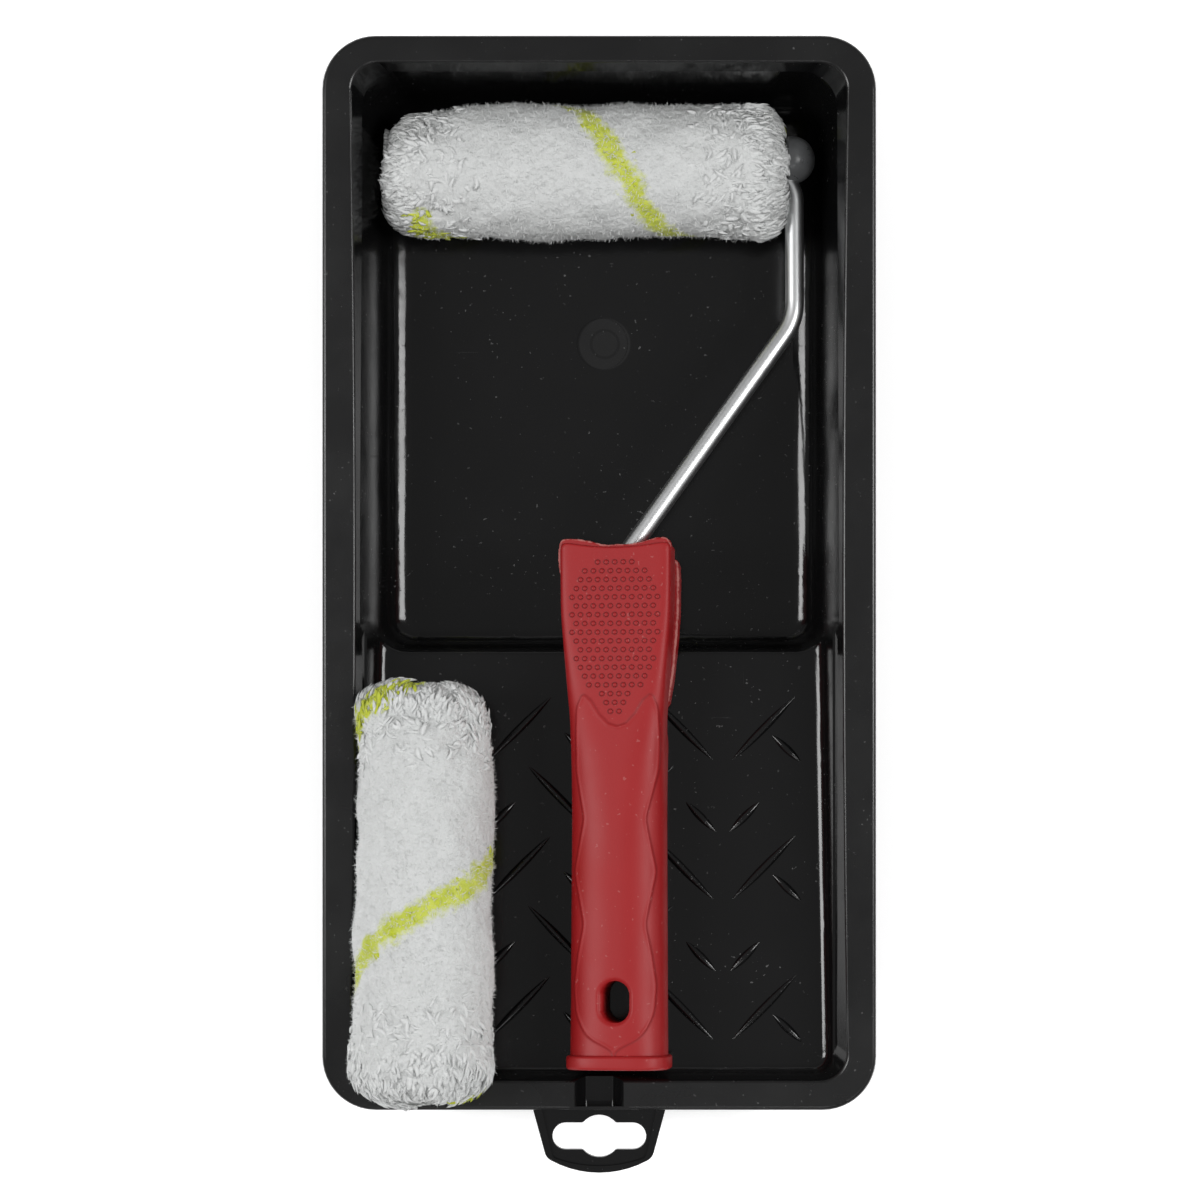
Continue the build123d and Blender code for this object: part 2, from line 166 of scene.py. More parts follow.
def black_polypropylene():
    """Glossy black moulding, duller on its rim, with a soft waviness, dust specks and faint scratches."""
    look = TrayLook("black_polypropylene", Specular_IOR_Level=0.5, IOR=1.46)
    place = look.place()
    height = look.node("SeparateXYZ", Vector=place).outputs["Z"]
    on_rim = look.ramp(height, RIM_HEIGHT - 1.2 * MM, RIM_HEIGHT - 0.5 * MM)
    cloud = look.noise(38, 3, 0.6, place)
    grain = look.noise(2600, 2, 0.6, place)
    specks = look.ramp(look.noise(900, 1, 0.5, place), 0.735, 0.76)
    streak_one = look.ramp(look.noise(60, 4, 0.7, place, ((1, 30, 8), (0, 0, 0.5))), 0.70, 0.74)
    streak_two = look.ramp(look.noise(75, 4, 0.7, place, ((26, 1, 8), (0, 0, 0.3))), 0.71, 0.75)
    scratches = look.math("MAXIMUM", streak_one, streak_two)
    marks = look.math("MULTIPLY", look.math("MAXIMUM", specks, look.math("MULTIPLY", scratches, 0.25)),
                      look.ramp(cloud, 0.42, 0.62))
    gate = look.gate(place)
    base = look.mix(on_rim, (0.0052, 0.0052, 0.0054), (0.0070, 0.0070, 0.0072))
    base = look.mix(gate, base, (0.0100, 0.0100, 0.0102))
    color = look.mix(look.math("MULTIPLY", marks, 0.35), base, (0.22, 0.22, 0.22))
    moulded_in = look.math("MAXIMUM", look.ramp(on_rim, 0, 1, 0.13, 0.27), look.math("MULTIPLY", gate, 0.24))
    from_use = look.math("ADD", look.ramp(cloud, 0.35, 0.7, -0.03, 0.06), look.math("MULTIPLY", marks, 0.3))
    rough = look.math("ADD", moulded_in, from_use)
    waves = look.bump(look.noise(70, 2, 0.5, place), 0.12 * MM, 0.5)
    fine = look.bump(grain, 0.02 * MM, 0.5, waves)
    return look.drive(Base_Color=color, Roughness=rough, Normal=fine)


def satin_steel():
    look = Look("satin_steel", Metallic=1.0)
    place = look.place()
    drawn = look.noise(900, 3, 0.6, place)
    cloud = look.noise(120, 3, 0.6, place)
    color = look.mix(cloud, (0.82, 0.83, 0.84), (0.90, 0.91, 0.91))
    rough = look.ramp(drawn, 0.3, 0.7, 0.32, 0.36)
    return look.drive(Base_Color=color, Roughness=rough, Normal=look.bump(drawn, 0.0012 * MM, 0.4))


def smoky_cap():
    look = Look("smoky_cap", IOR=1.46, Transmission_Weight=0.35)
    place = look.place()
    cloud = look.noise(260, 3, 0.6, place)
    color = look.mix(cloud, (0.14, 0.145, 0.15), (0.26, 0.265, 0.27))
    rough = look.ramp(cloud, 0.3, 0.7, 0.25, 0.42)
    return look.drive(Base_Color=color, Roughness=rough, Normal=look.bump(cloud, 0.1 * MM, 0.4))


def moulded(name, dark, light, rough):
    look = Look(name, IOR=1.46)
    cloud = look.noise(90, 3, 0.6)
    grain = look.noise(1200, 2, 0.6)
    return look.drive(Base_Color=look.mix(cloud, dark, light),
                      Roughness=look.ramp(cloud, 0.3, 0.7, rough, rough + 0.1),
                      Normal=look.bump(grain, 0.03 * MM, 0.5))


dress("tray", black_polypropylene())
dress("wire_frame", satin_steel())
dress("elbow_cap", smoky_cap())
dress("tip_clip", moulded("spring_steel", (0.3, 0.3, 0.3), (0.4, 0.4, 0.4), 0.4))
CORE = moulded("core_plastic", (0.50, 0.50, 0.48), (0.60, 0.60, 0.58), 0.5)
BEARING = moulded("bearing_plastic", (0.06, 0.06, 0.065), (0.09, 0.09, 0.095), 0.45)
for node in ("sleeve_core", "spare_core"):
    dress(node, CORE)
for node in ("sleeve_near_bearing", "sleeve_far_bearing", "spare_front_bearing", "spare_rear_bearing"):
    dress(node, BEARING)


# ---------------------------------------------------------------- meshes
def add_mesh(name, verts, faces, place, material, wear_and_painted_shade=None):
    """Smooth-shaded mesh object, from millimetres in its own frame, which place sets in the object's frame."""
    mesh = bpy.data.meshes.new(name)
    mesh.from_pydata((np.asarray(verts) * MM).tolist(), [], faces)
    mesh.transform(place)
    mesh.materials.append(material)
    mesh.polygons.foreach_set("use_smooth", [True] * len(mesh.polygons))
    # per-vertex attribute: real wear above 0, painted shade below 0
    if wear_and_painted_shade is not None:
        layer = mesh.attributes.new("wear_and_painted_shade", "FLOAT", "POINT")
        layer.data.foreach_set("value", np.asarray(wear_and_painted_shade, np.float32))
    mesh.update()
    obj = bpy.data.objects.new(name, mesh)
    bpy.context.scene.collection.objects.link(obj)
    return obj


def middle(node):
    low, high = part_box(node)
    return (low + high) / 2


def wall_faces(rows, count):
    """Quads between closed rows of `count` vertices each."""
    base = np.arange(rows - 1)[:, None] * count
    column = np.arange(count)[None, :]
    following = (column + 1) % count
    quads = np.stack([base + column, base + following, base + count + following, base + count + column], -1)
    return quads.reshape(-1, 4).tolist()


def tube_faces(rows, count):
    """Quads between closed rows, with a flat cap on the first row and on the last."""
    caps = [tuple(reversed(range(count))), tuple(range((rows - 1) * count, rows * count))]
    return wall_faces(rows, count) + caps


def fan(first, count, tip):
    """Triangles from a closed row of vertices to one tip."""
    return [(first + k, first + (k + 1) % count, tip) for k in range(count)]


def rounded_edge(radius, steps):
    """A rounded edge from the flat face outward: how far it has gone along, and how far inside it still is."""
    turn = np.linspace(0, math.pi / 2, steps)
    return radius * (1 - np.cos(turn)), radius * (1 - np.sin(turn))


def smooth(t):
    t = np.clip(t, 0, 1)
    return t * t * (3 - 2 * t)


def fields(points, scale, seed):
    """Smooth noise, about -1 to 1, at each point."""
    offset = Vector((seed * 17.3, seed * 5.1, seed * 9.7))
    return np.array([noise.noise(Vector(p) * scale + offset) for p in points])


# ---------------------------------------------------------------- plush sleeves
# Millimetres in the sleeve's own frame, with x along the sleeve from its middle.
PILE_LENGTH = 111.8
PILE_RADIUS = 17.9
PILE_ROUND = 8.5                           # rounding of the pile's ends
PILE_MOUTH = 9.6                           # radius where the end turns in towards the core
END_TRIM = 0.8                             # how far the locks reach past the skin's end
CORE_OUTER = 7.8
CORE_HALF = 52.0
SKIN_ROWS, SKIN_AROUND = 300, 250
STRIPE_PITCH = 65.5
STRIPE_HALF_WIDTH = 3.2
LOCK_SIDES = 4
LOCK_TAPER = (0.8, 1.0, 0.85, 0.5)         # share of the full width at each ring, before the tip
FIBRE_HALF_WIDTH = 0.085
FULL_COUNTS = (2400, 3200, 30000)          # mats in the stripe, locks round the ends, loose fibres


def half_profile():
    """Half profile of the pile, from mid length round the end and into its mouth: (x, radius) in mm."""
    half = PILE_LENGTH / 2 - END_TRIM
    straight = [(x, PILE_RADIUS) for x in np.linspace(0, half - PILE_ROUND, 60)]
    turn = [(half - PILE_ROUND + PILE_ROUND * math.sin(a), PILE_RADIUS - PILE_ROUND + PILE_ROUND * math.cos(a))
            for a in np.linspace(0, math.pi / 2, 14)[1:]]
    mouth = [(half - (half - CORE_HALF) * t, PILE_MOUTH + (CORE_OUTER - PILE_MOUTH) * t ** 2)
             for t in np.linspace(0, 1, 6)]
    return np.array(straight + turn + mouth)


def full_profile(steps):
    """Evenly spaced profile from one mouth to the other, with the distance along it."""
    half = half_profile()
    line = np.r_[half[::-1] * (-1, 1), half[1:]]
    span = np.r_[0, np.cumsum(np.hypot(*np.diff(line, axis=0).T))]
    at = np.linspace(0, span[-1], steps)
    return np.c_[np.interp(at, span, line[:, 0]), np.interp(at, span, line[:, 1])], at


def stripe_distance(x, angle, phase):
    """Signed distance along the sleeve from the middle of the yarn stripe."""
    d = x - phase - STRIPE_PITCH * angle / (2 * math.pi)
    return (d + STRIPE_PITCH / 2) % STRIPE_PITCH - STRIPE_PITCH / 2


def towards_end(x, start, over):
    """0 in the middle of the sleeve, rising smoothly to 1 over a stretch from `start` mm out on each side."""
    return smooth((np.abs(x) - start) / over)


def frame_on_pile(line, at, where, angle):
    """Point, outward normal and directions along and around the even pile, at distance `where` and `angle`."""
    slope = np.gradient(line, axis=0)
    slope /= np.linalg.norm(slope, axis=1)[:, None]
    x, r = np.interp(where, at, line[:, 0]), np.interp(where, at, line[:, 1])
    sx, sr = np.interp(where, at, slope[:, 0]), np.interp(where, at, slope[:, 1])
    cos, sin = np.cos(angle), np.sin(angle)
    point = np.c_[x, r * cos, r * sin]
    normal = np.c_[-sr, sx * cos, sx * sin]
    along = np.c_[sx, sr * cos, sr * sin]
    around = np.c_[np.zeros_like(cos), -sin, cos]
    return point, normal, along, around


def swell(points, seed):
    """How far the pile bulges or sinks in broad soft waves, more so towards its ends, with one end worn thin."""
    x = points[:, 0]
    end = towards_end(x, 28, 24)
    thin = smooth((-x - 26) / 27) * np.clip(points[:, 1] / PILE_RADIUS, 0, 1)
    broad = fields(points, 0.045, seed + 20) * (1.2 + 0.9 * end)
    short = fields(points, 0.13, seed + 30) * (0.8 + 0.7 * end)
    return broad + short - 3.2 * thin + 0.55


def pile_skin(seed):
    """Soft lumpy skin of the plush as (vertices, faces), in the sleeve's own frame, in mm."""
    line, at = full_profile(SKIN_ROWS)
    turn = np.linspace(0, 2 * math.pi, SKIN_AROUND, endpoint=False)
    where, angle = np.repeat(at, SKIN_AROUND), np.tile(turn, SKIN_ROWS)
    points, normal, _, _ = frame_on_pile(line, at, where, angle)
    end = towards_end(points[:, 0], 38, 14)
    clumps = np.abs(fields(points, 0.30, seed + 1))
    curls = np.abs(fields(points, 0.70, seed + 2))
    move = swell(points, seed) - clumps * (0.40 + 0.5 * end) - curls * (0.30 + 0.2 * end)
    move *= smooth((at[-1] / 2 - np.abs(where - at[-1] / 2)) / 4)
    return points + normal * move[:, None], wall_faces(SKIN_ROWS, SKIN_AROUND)


def locks(base, normal, lean, length, width, lift, curl, flat, dive):
    """Tapered curved locks of yarn, all at once: arrays of bases, directions and sizes give (vertices, faces)."""
    rings = len(LOCK_TAPER)
    across = np.cross(normal, lean)
    across /= np.linalg.norm(across, axis=1)[:, None]
    corner = np.linspace(0, 2 * math.pi, LOCK_SIDES, endpoint=False) + math.pi / 4
    verts = []
    for i in range(rings + 1):
        t = i / rings
        spine = (base + lean * (length * t)[:, None] + across * (curl * math.sin(math.pi * t))[:, None]
                 + normal * (lift * math.sin(math.pi * t * 0.7) - dive * t * t)[:, None])
        if i == rings:
            verts.append(spine)
            continue
        for q in corner:
            verts.append(spine + across * (width * LOCK_TAPER[i] * math.cos(q))[:, None]
                         + normal * (width * flat * LOCK_TAPER[i] * math.sin(q))[:, None])
    verts = np.stack(verts, axis=1).reshape(-1, 3)
    tip = rings * LOCK_SIDES
    one = wall_faces(rings, LOCK_SIDES) + fan(tip - LOCK_SIDES, LOCK_SIDES, tip)
    faces = [tuple(v + index * (tip + 1) for v in face) for index in range(len(base)) for face in one]
    return verts, faces


def scattered(rng, count, ends_only):
    """Random places on the pile: distance along its profile and angle round it."""
    line, at = full_profile(2000)
    weight = line[:, 1] * (line[:, 1] > PILE_MOUTH)
    if ends_only:
        weight = weight * towards_end(line[:, 0], 28, 24)
    where = rng.choice(at, size=count, p=weight / weight.sum()) + rng.uniform(-0.05, 0.05, count)
    return line, at, where, rng.uniform(0, 2 * math.pi, count)


def tufts(seed, count, ends_only, phase, from_x, striped):
    """Matted tufts over the pile, or the longer locks that lean out round its ends: in the stripe or out of it."""
    rng = np.random.default_rng(seed)
    line, at, where, angle = scattered(rng, count, ends_only)
    point, normal, along, around = frame_on_pile(line, at, where, angle)
    size = rng.uniform(0, 1, (6, count))
    drift = rng.normal(0, 1.0, (4, count))
    x = point[:, 0]
    ragged = stripe_distance(x, angle, phase) + drift[0] * 1.1
    keep = ((np.abs(ragged) < STRIPE_HALF_WIDTH) & (x > from_x + drift[3] * 0.8)) == striped
    point, normal, along, around, x = (v[keep] for v in (point, normal, along, around, x))
    size, drift = size[:, keep], drift[:, keep]
    turn = size[0] * 2 * math.pi
    end = towards_end(x, 34, 16)
    free = along * np.cos(turn)[:, None] + around * np.sin(turn)[:, None]
    outward = along * np.sign(x)[:, None] + around * (drift[1] * 0.45)[:, None]
    lean = free * (1 - end)[:, None] + outward * end[:, None]
    lean /= np.linalg.norm(lean, axis=1)[:, None]
    if ends_only:
        length = 2.4 + 2.4 * size[1]
        width = 0.45 + 0.6 * size[2]
        lift = 0.15 + 0.7 * size[3] ** 2
        sink = 0.45 + 0.3 * size[4]
        flat, dive = 0.6, 0.0
    else:
        length = 1.6 + 1.8 * size[1]
        width = 0.9 + 0.8 * size[2]
        lift = 0.1 + 0.25 * size[3]
        sink = 0.55 + 0.2 * size[4]
        flat, dive = 0.36, 0.75
    rise = swell(point, seed // 100)
    base = point + normal * (rise - sink)[:, None]
    return locks(base, normal, lean, length, width, lift, drift[2] * 0.5, flat, dive)


def fuzz(seed, count):
    """Loose single fibres that stand off the pile."""
    rng = np.random.default_rng(seed)
    line, at, where, angle = scattered(rng, count, False)
    point, normal, along, around = frame_on_pile(line, at, where, angle)
    turn = rng.uniform(0, 2 * math.pi, count)
    free = along * np.cos(turn)[:, None] + around * np.sin(turn)[:, None]
    free += normal * rng.uniform(0, 1.1, count)[:, None]
    free /= np.linalg.norm(free, axis=1)[:, None]
    base = point + normal * (swell(point, seed // 100) - 0.5)[:, None]
    side = np.cross(free, normal)
    side /= np.linalg.norm(side, axis=1)[:, None] + 1e-9
    length = rng.uniform(0.9, 2.2, count)
    bend = rng.normal(0, 0.5, count)
    tip = base + free * length[:, None] + side * bend[:, None]
    mid = base + free * (length * 0.55)[:, None]
    wide = side * FIBRE_HALF_WIDTH
    verts = np.stack([base - wide, base + wide, mid - wide * 0.8, mid + wide * 0.8, tip], axis=1).reshape(-1, 3)
    faces = []
    for first in range(0, 5 * count, 5):
        faces += [(first, first + 1, first + 3, first + 2), (first + 2, first + 3, first + 4)]
    return verts, faces


def merged(*parts):
    """Several (vertices, faces) as one."""
    verts, faces, shift = [], [], 0
    for part_verts, part_faces in parts:
        verts.append(part_verts)
        faces += [tuple(v + shift for v in face) for face in part_faces]
        shift += len(part_verts)
    return np.concatenate(verts), faces


WHITE_LOW, WHITE_HIGH = (0.610, 0.620, 0.615), (0.660, 0.670, 0.665)
# painted light: the locks and loose fibres get a paler white than the skin, to lift the shade they cast on one
# another
PAINTED_LIGHT_LOCK_LOW, PAINTED_LIGHT_LOCK_HIGH = (0.670, 0.680, 0.675), (0.735, 0.745, 0.740)
YARN_LOW, YARN_HIGH = (0.47, 0.53, 0.035), (0.60, 0.655, 0.085)


class PlushLook(Look):
    def pile(self, at):
        """Normal of matted yarn: soft lumps a millimetre or two across, with fine fibres over them."""
        lumps = self.bump(self.noise(560, 3, 0.6, at), 1.0 * MM, 0.7)
        return self.bump(self.noise(1700, 4, 0.75, at), 0.25 * MM, 0.7, lumps)


def plush(name, place=None, phase=0.0, from_x=0.0, low=WHITE_LOW, high=WHITE_HIGH):
    """White pile; with a place, the yellow-green yarn is drawn on it along the helix its tufts follow."""
    look = PlushLook(name, Specular_IOR_Level=0.1, Sheen_Weight=0.1, Sheen_Roughness=0.6)
    at = look.place()
    cloud = look.noise(240, 3, 0.6, at)
    color = look.mix(look.ramp(cloud, 0.3, 0.7), low, high)
    if place is not None:
        inverse = place.inverted()
        own = look.node("Mapping", {"vector_type": "POINT"}, Vector=at)
        own.inputs["Location"].default_value = inverse.to_translation()
        own.inputs["Rotation"].default_value = inverse.to_euler()
        split = look.node("SeparateXYZ", Vector=own.outputs[0])
        x, y, z = (split.outputs[k] for k in "XYZ")
        angle = look.math("DIVIDE", look.math("ARCTAN2", z, y), 2 * math.pi)
        turns = look.math("SUBTRACT",
                          look.math("DIVIDE", look.math("SUBTRACT", x, phase * MM), STRIPE_PITCH * MM), angle)
        distance = look.math("MULTIPLY", look.math("PINGPONG", turns, 0.5), STRIPE_PITCH)
        wander = look.math("ADD", look.ramp(look.noise(120, 2, 0.5, at), 0.3, 0.7, -1.6, 1.6),
                           look.ramp(look.noise(500, 3, 0.7, at), 0.3, 0.7, -1.5, 1.5))
        stripe = look.ramp(look.math("ADD", distance, wander), STRIPE_HALF_WIDTH - 1.3, STRIPE_HALF_WIDTH + 1.6,
                           0.95, 0.0)
        stripe = look.math("MULTIPLY", stripe, look.ramp(x, (from_x - 1) * MM, (from_x + 1) * MM))
        color = look.mix(stripe, color, look.mix(look.ramp(cloud, 0.35, 0.65), YARN_LOW, YARN_HIGH))
    return look.drive(Base_Color=color, Roughness=0.95, Normal=look.pile(at))


def stripe_yarn():
    look = PlushLook("stripe_yarn", Specular_IOR_Level=0.1, Sheen_Weight=0.1)
    at = look.place()
    cloud = look.noise(420, 3, 0.6, at)
    color = look.mix(look.ramp(cloud, 0.35, 0.65), YARN_LOW, YARN_HIGH)
    return look.drive(Base_Color=color, Roughness=0.95, Normal=look.pile(at))


YARN = stripe_yarn()
# paler white for the locks and loose fibres: painted light
TUFT_PLUSH_PAINTED_LIGHT = plush("tuft_plush_painted_light", low=PAINTED_LIGHT_LOCK_LOW, high=PAINTED_LIGHT_LOCK_HIGH)


def make_sleeve(prefix, node, body, place, phase, from_x, seed):
    """Skin, white tufts and stripe of one plush cover; phase shifts the stripe, which starts at from_x."""
    mats, ends, hairs = FULL_COUNTS
    skin = add_mesh(prefix + "_skin", *pile_skin(seed), place, plush(prefix + "_plush", place, phase, from_x))
    white = merged(tufts(seed * 100 + 2, ends, True, phase, from_x, False), fuzz(seed * 100 + 3, hairs))
    yarn = merged(tufts(seed * 100 + 4, mats, False, phase, from_x, True),
                  tufts(seed * 100 + 5, ends, True, phase, from_x, True))
    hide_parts(node)
    for piece in (skin, add_mesh(prefix + "_tufts", *white, place, TUFT_PLUSH_PAINTED_LIGHT),
                  add_mesh(prefix + "_stripe_tufts", *yarn, place, YARN)):
        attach(piece, body)


make_sleeve("sleeve", "sleeve_pile", "fitted_sleeve", Matrix.Translation(middle("sleeve_pile")), -6.5, -46.0, 3)
SPARE_TILT = math.radians(11.6)
spare_place = (Matrix.Translation(middle("spare_pile")) @ Matrix.Rotation(-SPARE_TILT, 4, "X")
               @ Matrix.Rotation(-math.pi / 2, 4, "Z"))
make_sleeve("spare", "spare_pile", "spare_sleeve", spare_place, -8.5, -60.0, 8)


# ---------------------------------------------------------------- handle
# Millimetres in the handle's own frame: x across, s (that is, -y) along it from its head, z up.
HANDLE_X = 5.5                             # across from the middle of the sleeve's core
HANDLE_TOP = 103.2                         # from the sleeve's axis to the head
ROLLER_TILT = math.radians(5.3)
HANDLE_ROLL = math.radians(6.5)
HANDLE_BOTTOM = 10.5
HEAD_HALF = 15.1
HANDLE_END = 139.4                         # where the grip meets the end flange
FLANGE_LENGTH = 3.7
FLANGE_HALF, FLANGE_HEIGHT, FLANGE_SQUARE = 14.0, 11.6, 3.6
FLANGE_AROUND = 160
CAP_INSET, SLAB_INSET = 0.3, 0.15          # narrow ring round a flat end, which keeps its shading flat
PLATE_START = 0.6                          # front plate's corners, behind the rear layer's
PLATE_SAG = 1.75                           # how far its top edge dips between them
PLATE_CORNER = 2.0
HOLE_AT, HOLE_HALF, HOLE_ROUND = 124.9, 1.7, 3.95
CUTTER_REACH = 30
DOT_PITCH_X, DOT_PITCH_Y, DOT_FIRST = 2.33, 2.38, 6.5
DOT_RADIUS, DOT_RISE = 0.66, 0.42
DOT_SIDES = 12
DOTS_PER_ROW = (5, 8, 9, 10, 11, 10, 11, 10, 11, 10, 9, 10, 9, 8, 7, 4, 3, 2)

handle_place = (Matrix.Translation(middle("sleeve_core") * Vector((0, 1, 1)))
                @ Matrix.Rotation(-ROLLER_TILT, 4, "X")
                @ Matrix.Translation((HANDLE_X * MM, -HANDLE_TOP * MM, 0))
                @ Matrix.Rotation(-HANDLE_ROLL, 4, "Y"))


def eased(table, at, width=5.0):
    """Values of a (distance, value) table, with its corners smoothed over `width` mm."""
    table = np.array(table, float)
    fine = np.arange(-20, 170, 0.25)
    values = np.interp(fine, table[:, 0], table[:, 1])
    window = np.hanning(int(width * 8) | 1)
    values = np.convolve(np.pad(values, len(window) // 2, mode="edge"), window / window.sum(), "valid")
    return np.interp(at, fine, values)


def handle_shape(s):
    """Half width, height above the middle, and squareness of the grip at distance s."""
    half = eased([(0, HEAD_HALF), (12, HEAD_HALF), (20, 15.0), (34, 14.0), (48, 13.0), (66, 12.8), (100, 12.95),
                  (140, 13.1)], s)
    top = eased([(0, 11.4), (26, 11.3), (50, 10.8), (70, 10.5), (140, 10.5)], s)
    square = eased([(0, 20), (16, 17), (32, 10), (46, 5.5), (58, 3.6), (76, 2.6), (128, 2.6), (140, 2.9)], s)
    return half, top, square


def ring(half, top, bottom, square, count):
    """Superellipse section as arrays x, z, with twice the points on its upper side."""
    t = np.linspace(0, 2 * math.pi, 2881)
    c, n = np.cos(t), np.sin(t)
    x = half * np.sign(c) * np.abs(c) ** (2 / square)
    z = np.where(n > 0, top, bottom) * np.sign(n) * np.abs(n) ** (2 / square)
    step = np.hypot(np.diff(x), np.diff(z)) * np.where(n[1:] > 0, 2.0, 1.0)
    span = np.r_[0, np.cumsum(step)]
    at = np.linspace(0, span[-1], count, endpoint=False)
    return np.interp(at, span, x), np.interp(at, span, z)


PANEL_SIDE = [(42.2, 9.2), (44.8, 10.7), (53, 11.1), (62.5, 10.9), (69, 9.6), (75.8, 8.1), (83, 9.5), (90, 10.9),
              (97, 9.5), (104.2, 8.1), (112, 9.7), (120.5, 10.9), (128, 10.3), (133, 8.0), (136, 4.5), (137, 0)]
PANEL_TOP = [(0, 50.6), (2.5, 49.8), (5.0, 47.2), (7.2, 43.6), (9.0, 42.0), (10.4, 43.2), (11.2, 47.0)]


def panel_depth(x, s):
    """Roughly how far a point lies inside the outline of the grip panel, in mm."""
    x = x - 0.8 * smooth((80 - s) / 25) + 0.2
    s = s - 0.7 * smooth((70 - s) / 20)
    side = eased(PANEL_SIDE, s, 3.0)
    down = np.arange(0, 160, 0.25)
    side_slope = np.interp(s, down, np.gradient(eased(PANEL_SIDE, down, 3.0), 0.25))
    to_side = (side - np.abs(x)) / np.sqrt(1 + side_slope ** 2)
    out = np.arange(0, 13, 0.05)
    window = np.hanning(17)
    top = np.interp(out, *np.array(PANEL_TOP).T)
    top = np.convolve(np.pad(top, 8, mode="edge"), window / window.sum(), "valid")
    top_slope = np.interp(np.abs(x), out, np.gradient(top, 0.05))
    to_top = (s - np.interp(np.abs(x), out, top)) / np.sqrt(1 + top_slope ** 2)
    return np.minimum(to_side, to_top)


def slot_distance(x, s):
    """Distance outside the hang hole's edge."""
    return np.hypot(x, np.maximum(np.abs(s - HOLE_AT) - HOLE_HALF, 0)) - HOLE_ROUND


def grip_mesh():
    """Handle body: square dotted head, oval grip, raised wavy panel with painted shade along its foot, and a soft lip
    round the hang hole.
    """
    count, steps = ((182, 440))
    rounding = 0.6
    edge_s, edge_inset = rounded_edge(rounding, 6)
    s_rows = np.r_[0.0, edge_s, np.linspace(rounding, HANDLE_END, steps)[1:]]
    inset = np.r_[rounding + CAP_INSET, edge_inset, np.zeros(steps - 1)]
    corner = PLATE_CORNER - np.sqrt(PLATE_CORNER ** 2 - np.clip(PLATE_CORNER - s_rows, 0, None) ** 2)
    half, top, square = handle_shape(s_rows)
    rows, marks = [], []
    for s, row_half, row_top, row_square, less in zip(s_rows, half - corner, top, square, inset):
        x, z = ring(row_half - less, row_top - less, HANDLE_BOTTOM - less, row_square, count)
        x = x * (1 - 0.11 * smooth(-z / 5) * smooth((56 - s) / 12))    # the head narrows downward
        arch = PLATE_SAG * (1 - (x / HEAD_HALF) ** 2) * math.exp(-s / 7)
        along = PLATE_START + s * (1 - PLATE_START / HANDLE_END) + arch
        upper = smooth((z - 3) / 2)
        depth = panel_depth(x, along)
        raised = upper * (0.14 * smooth(depth / 0.5 + 0.5) + 0.20 * np.exp(-(depth / 0.34) ** 2))
        lip = -0.75 * np.clip(1 - slot_distance(x, along) / 1.1, 0, 1) ** 2
        out = 1 + raised / np.hypot(x, z)
        rows.append(np.c_[x * out, -along, z * out + lip * np.sign(z) * smooth((np.abs(z) - 3) / 2)])
        # painted shade: a dark line along the foot of the raised panel, stored below 0 in the per-vertex attribute
        marks.append(-0.55 * upper * np.exp(-((depth + 0.42) / 0.26) ** 2))
    return np.concatenate(rows), tube_faces(len(rows), count), np.concatenate(marks)


def dots_mesh():
    """Small steep-sided domes over the head, in staggered rows, each with painted shade on its steep sides and on a
    thin dark skirt round its foot.
    """
    # radius and height as shares of the dot's, with the painted shade there, from the dark painted ring that stands
    # for the foot's shadow to the last ring
    shape = [(1.42, 0.02, 0.0), (1.12, 0.025, -0.9), (0.98, 0.03, -1.0), (0.94, 0.5, -0.75), (0.78, 0.86, -0.1),
             (0.4, 0.98, 0.0)]
    turn = np.arange(DOT_SIDES) * 2 * math.pi / DOT_SIDES
    tip = len(shape) * DOT_SIDES
    one = wall_faces(len(shape), DOT_SIDES) + fan(tip - DOT_SIDES, DOT_SIDES, tip)
    verts, faces, marks = [], [], []
    for row, number in enumerate(DOTS_PER_ROW):
        s = DOT_FIRST + row * DOT_PITCH_Y
        for column in range(number):
            middle_x = (column - (number - 1) / 2) * DOT_PITCH_X
            first = len(verts)
            for out, up, painted_shade in shape + [(0.0, 1.0, 0.0)]:
                x = middle_x + DOT_RADIUS * out * np.cos(turn)
                y = s - DOT_RADIUS * out * np.sin(turn)
                half, top, square = handle_shape(y - PLATE_START)
                z = top * (1 - np.abs(x / half) ** square) ** (1 / square)
                ends = slice(0, 1) if out == 0 else slice(None)
                verts += np.c_[x, -y, z + DOT_RISE * up][ends].tolist()
                marks += [painted_shade] * len(x[ends])
            faces += [tuple(first + v for v in face) for face in one]
    return verts, faces, marks


def rounded_outline(points, spacing=0.35, cuts=3):
    """Closed outline with its corners cut round, evenly spaced."""
    line = np.array(points, float)
    for _ in range(cuts):
        following = np.roll(line, -1, axis=0)
        line = np.stack([line * 0.75 + following * 0.25, line * 0.25 + following * 0.75], 1).reshape(-1, 2)
    closed = np.r_[line, line[:1]]
    span = np.r_[0, np.cumsum(np.hypot(*np.diff(closed, axis=0).T))]
    at = np.linspace(0, span[-1], int(span[-1] / spacing), endpoint=False)
    return np.c_[np.interp(at, span, closed[:, 0]), np.interp(at, span, closed[:, 1])]


